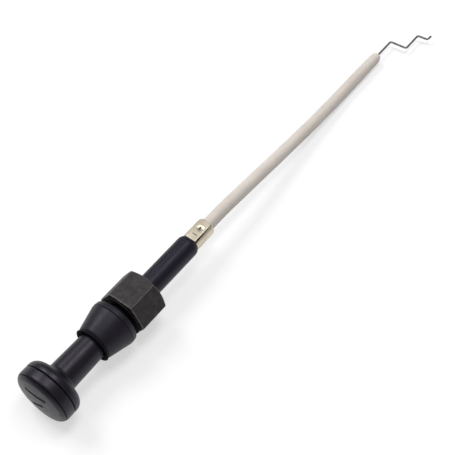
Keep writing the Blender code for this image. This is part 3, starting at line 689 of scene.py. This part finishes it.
# ---- conduit and wire ----
def make_wire(end, along, steel):
    """The core wire past the conduit's end, with its bends and the slight chamfer of its cut tip."""
    hidden, cut_l, cut_share, bend_steps = 3.0, 0.12, 0.72, 8
    corners = [end - along * hidden] + [end + Vector((x, y, 0)) for x, y in ZIGZAG]
    points = [corners[0]]
    for a, b, c in zip(corners, corners[1:], corners[2:]):
        points += rounded_corner(a, b, c, WIRE_BEND_R, bend_steps)
    points.append(corners[-1])
    rings = [(p, direction, WIRE_R) for p, direction in zip(points, directions(points))]
    last, direction = rings[-1][:2]
    rings[-1] = (last - direction * cut_l, direction, WIRE_R)
    rings.append((last, direction, WIRE_R * cut_share))
    return sweep("wire_hook", rings, steel, "wire_end", "wire_tip",
                 reference=Vector((0, 0, 1)), segments=16, smooth_angle=50.0)


def make_cable(nylon, steel):
    """The conduit from inside the ferrule to its rounded end, and the wire."""
    hidden, straight_point, spacing = 4.0, 4.0, 2.5
    nose_gap, nose_steps = 1.0, 10
    bore_mouth_r, bore_mouth_l, bore_depth = 1.1, 0.2, 2.0
    mouth = SEAT_X + FERRULE_END
    start = Vector((mouth - hidden, 0, AXIS_Z))
    route = [Vector((mouth + x, y, z)) for x, y, z in ROUTE]
    curve = smooth_route([Vector((mouth + CONDUIT_STRAIGHT, 0, AXIS_Z)), *route], spacing)
    path = [Vector((mouth, 0, AXIS_Z)), Vector((mouth + straight_point, 0, AXIS_Z)), *curve]
    end = path[-1]
    body_path = [start] + [p for p in path if p.x < end.x - CONDUIT_NOSE_L - nose_gap]
    rings = []
    for p, direction in zip(body_path, directions(body_path)):
        tapered = (CONDUIT_TAPER_L - (end.x - p.x)) / (CONDUIT_TAPER_L - CONDUIT_NOSE_L)
        rings.append((p, direction, CONDUIT_R - CONDUIT_TAPER * max(0.0, tapered)))
    along = Vector((1, 0, 0))
    for i in range(nose_steps + 1):
        a = math.radians(90 * i / nose_steps)
        r = CONDUIT_R - CONDUIT_TAPER - CONDUIT_NOSE_ROUND * (1 - math.cos(a))
        rings.append((end - along * CONDUIT_NOSE_L * (1 - math.sin(a)), along, r))
    rings.append((end, along, bore_mouth_r))
    rings += [(end - along * depth, along, CONDUIT_BORE_R) for depth in (bore_mouth_l, bore_depth)]
    conduit = sweep("conduit_tube", rings, nylon, "housing", "conduit",
                    reference=Vector((0, 1, 0)), segments=40, smooth_angle=60.0)
    tip = make_wire(end, along, steel)


# ---- floor and light ----
def make_floor():
    """Pale floor that also glows, but only to the camera's rays: straight, mirrored or let through."""
    diffuse_colour, glow_level, reach = (0.51, 0.51, 0.515, 1), 0.55, 6.0
    mat = bpy.data.materials.new("pale_floor")
    mat.use_nodes = True
    nodes, links = mat.node_tree.nodes, mat.node_tree.links
    nodes.clear()
    out = nodes.new("ShaderNodeOutputMaterial")
    diffuse = nodes.new("ShaderNodeBsdfDiffuse")
    diffuse.inputs["Color"].default_value = diffuse_colour
    glow = nodes.new("ShaderNodeEmission")
    add = nodes.new("ShaderNodeAddShader")
    path = nodes.new("ShaderNodeLightPath")
    value = path.outputs["Is Camera Ray"]
    for ray in ("Is Glossy Ray", "Is Transmission Ray"):
        either = nodes.new("ShaderNodeMath")
        either.operation = "MAXIMUM"
        links.new(value, either.inputs[0])
        links.new(path.outputs[ray], either.inputs[1])
        value = either.outputs[0]
    level = nodes.new("ShaderNodeMath")
    level.operation = "MULTIPLY"
    level.inputs[1].default_value = glow_level
    links.new(value, level.inputs[0])
    links.new(level.outputs[0], glow.inputs["Strength"])
    links.new(diffuse.outputs[0], add.inputs[0])
    links.new(glow.outputs[0], add.inputs[1])
    links.new(add.outputs[0], out.inputs["Surface"])
    mesh = bpy.data.meshes.new("floor")
    corners = [(-reach, -reach, 0), (reach, -reach, 0), (reach, reach, 0), (-reach, reach, 0)]
    mesh.from_pydata(corners, [], [(0, 1, 2, 3)])
    mesh.materials.append(mat)
    floor = bpy.data.objects.new("floor", mesh)
    bpy.context.scene.collection.objects.link(floor)


def make_world():
    """Even white surroundings."""
    level = 0.33
    world = bpy.data.worlds.new("studio")
    bpy.context.scene.world = world
    world.use_nodes = True
    background = world.node_tree.nodes["Background"]
    background.inputs["Color"].default_value = (1, 1, 1, 1)
    background.inputs["Strength"].default_value = level


def area_light(name, direction, distance, size, power):
    """Rectangular light, in metres and watts, that shines on the cable from a direction."""
    aim = Vector((0.03, 0, 0.01))
    data = bpy.data.lights.new(name, "AREA")
    data.shape = "RECTANGLE"
    data.size, data.size_y = size
    data.energy = power
    light = bpy.data.objects.new(name, data)
    bpy.context.scene.collection.objects.link(light)
    towards = Vector(direction).normalized()
    light.location = aim + towards * distance
    light.rotation_euler = (-towards).to_track_quat("-Z", "Y").to_euler()


def make_lights():
    """Broad softbox above, and a key light from the left."""
    area_light("softbox_above", (0.22, -0.042, 0.975), 1.8, (0.55, 1.15), 12.0)
    area_light("key_left", (0.05, 0.62, 0.75), 2.0, (0.8, 0.8), 17.0)


def main():
    bpy.context.scene.view_settings.view_transform = "Standard"
    make_camera()
    make_floor()
    make_world()
    make_lights()

    black = blackened_metal()
    rubber = boot_rubber()
    nylon = natural_nylon()
    steel = drawn_steel()
    zinc = plain_metal("zinc_plate", (0.6, 0.58, 0.5))
    brass = plain_metal("turned_brass", (0.6, 0.42, 0.16))

    make_cable(nylon, steel)
    make_knob(knob_plastic(), sign_groove_shade())
    make_boot(rubber, lip_shade_rubber())
    make_nut(phosphated_steel(), edge_highlight_steel())
    make_sleeve(sleeve_plastic())
    # the second nickel is darkened to 0.12 as painted shade
    nickel, shade_nickel = nickel_sheet("nickel_sheet", 1.0), nickel_sheet("nickel_painted_shade", 0.12)
    make_ferrule(nickel)
    make_inner_roll(shade_nickel)
    make_crease(shade_nickel)

    # the inner pieces keep the frame's own shape and take only a material from here
    inner_pieces = {
        # threaded body and washer are near black: their own dark finish, and painted shade of the gap
        # between boot and nut
        "threaded_body": black,
        "panel_washer": black,
        "friction_nut": brass,
        "wire_anchor": brass,
        "rod_seal": rubber,
        "guide_bush": nylon,
        "knob_washer": zinc,
        "knob_nut": zinc,
        "pull_rod": steel,
        "core_wire_front": steel,
        "core_wire_middle": steel,
    }
    for node, mat in inner_pieces.items():
        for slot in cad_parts[node].material_slots:
            slot.material = mat


main()
